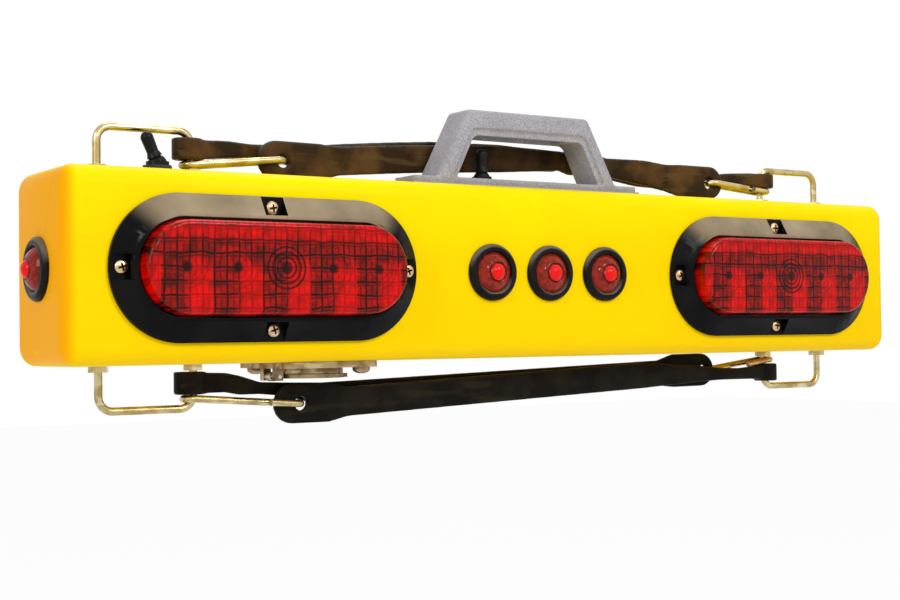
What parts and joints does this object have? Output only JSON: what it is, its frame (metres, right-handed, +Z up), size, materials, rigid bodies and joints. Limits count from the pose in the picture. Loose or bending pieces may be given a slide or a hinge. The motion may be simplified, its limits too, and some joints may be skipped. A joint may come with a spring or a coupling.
{
  "type": "trailer lighting board",
  "caption": "Yellow moulded light bar with oval red lamps, marker lamps, carrying handle, toggle switches, wire bails and rubber straps with hooks.",
  "frame": {"origin": "middle of the flat back face", "axes": "+X along the bar to the right seen from the front, -Y out of the front with the lamps, +Z up to the handle"},
  "size_m": [0.703, 0.1085, 0.2083],
  "materials": {
    "yellow": "moulded, light gloss",
    "black_plastic": "gloss",
    "lens_red": "clear red, ribbed inside",
    "marker_red": "clear red",
    "black_rubber": "matt",
    "handle_grey": "speckled",
    "zinc": "yellow zinc plated",
    "steel": "bright zinc plated",
    "brass": "dull",
    "zinc_casting": "dull casting",
    "dark_plastic": "matt",
    "board_white": "satin",
    "board_green": "solder mask",
    "wrap_blue": "shrink wrap"
  },
  "bodies": {
    "board": {"body_shell": "yellow", "rear_cover": "yellow", "cover_gasket": "black_rubber", "cover_screws": "steel", "left_lamp_flange": "black_plastic", "right_lamp_flange": "black_plastic", "left_lamp_lens": "lens_red", "right_lamp_lens": "lens_red", "left_lamp_tub": "dark_plastic", "right_lamp_tub": "dark_plastic", "left_led_board": "board_white", "right_led_board": "board_white", "left_flange_screws": "brass", "right_flange_screws": "brass", "left_id_grommet": "black_rubber", "centre_id_grommet": "black_rubber", "right_id_grommet": "black_rubber", "left_id_lamp": "marker_red", "centre_id_lamp": "marker_red", "right_id_lamp": "marker_red", "left_end_grommet": "black_rubber", "right_end_grommet": "black_rubber", "left_end_lamp": "marker_red", "right_end_lamp": "marker_red", "handle_grip": "handle_grey", "handle_pad": "handle_grey", "handle_screws": "steel", "power_switch": "dark_plastic", "power_switch_nut": "dark_plastic", "power_boot": "black_rubber", "mode_switch": "dark_plastic", "mode_boot": "black_rubber", "top_left_bail": "zinc", "top_right_bail": "zinc", "bottom_left_bail": "zinc", "bottom_right_bail": "zinc", "bail_outer_nuts": "zinc", "bail_inner_nuts": "zinc", "top_front_strap": "black_rubber", "top_rear_strap": "black_rubber", "bottom_front_strap": "black_rubber", "bottom_rear_strap": "black_rubber", "top_left_hook": "zinc", "top_right_hook": "zinc", "bottom_left_hook": "zinc", "bottom_right_hook": "zinc", "socket_shell": "zinc_casting", "socket_insert": "dark_plastic", "socket_contacts": "brass", "socket_screws": "brass", "socket_lid": "zinc_casting", "lid_pin": "steel", "lid_spring": "steel", "battery_pack": "wrap_blue", "battery_bracket": "dark_plastic", "receiver_board": "board_green", "board_screws": "steel"},
    "power_lever": {"power_lever": "black_rubber"},
    "mode_lever": {"mode_lever": "black_rubber"}
  },
  "joints": [
    {"name": "power_toggle", "type": "hinge", "parent": "board", "child": "power_lever", "pos_m": [-0.2705, -0.054, 0.0632], "axis": [0, 1, 0], "range_deg": [0, 46]},
    {"name": "mode_toggle", "type": "hinge", "parent": "board", "child": "mode_lever", "pos_m": [-0.0315, -0.054, 0.0652], "axis": [0, 1, 0], "range_deg": [-15, 15]}
  ]
}
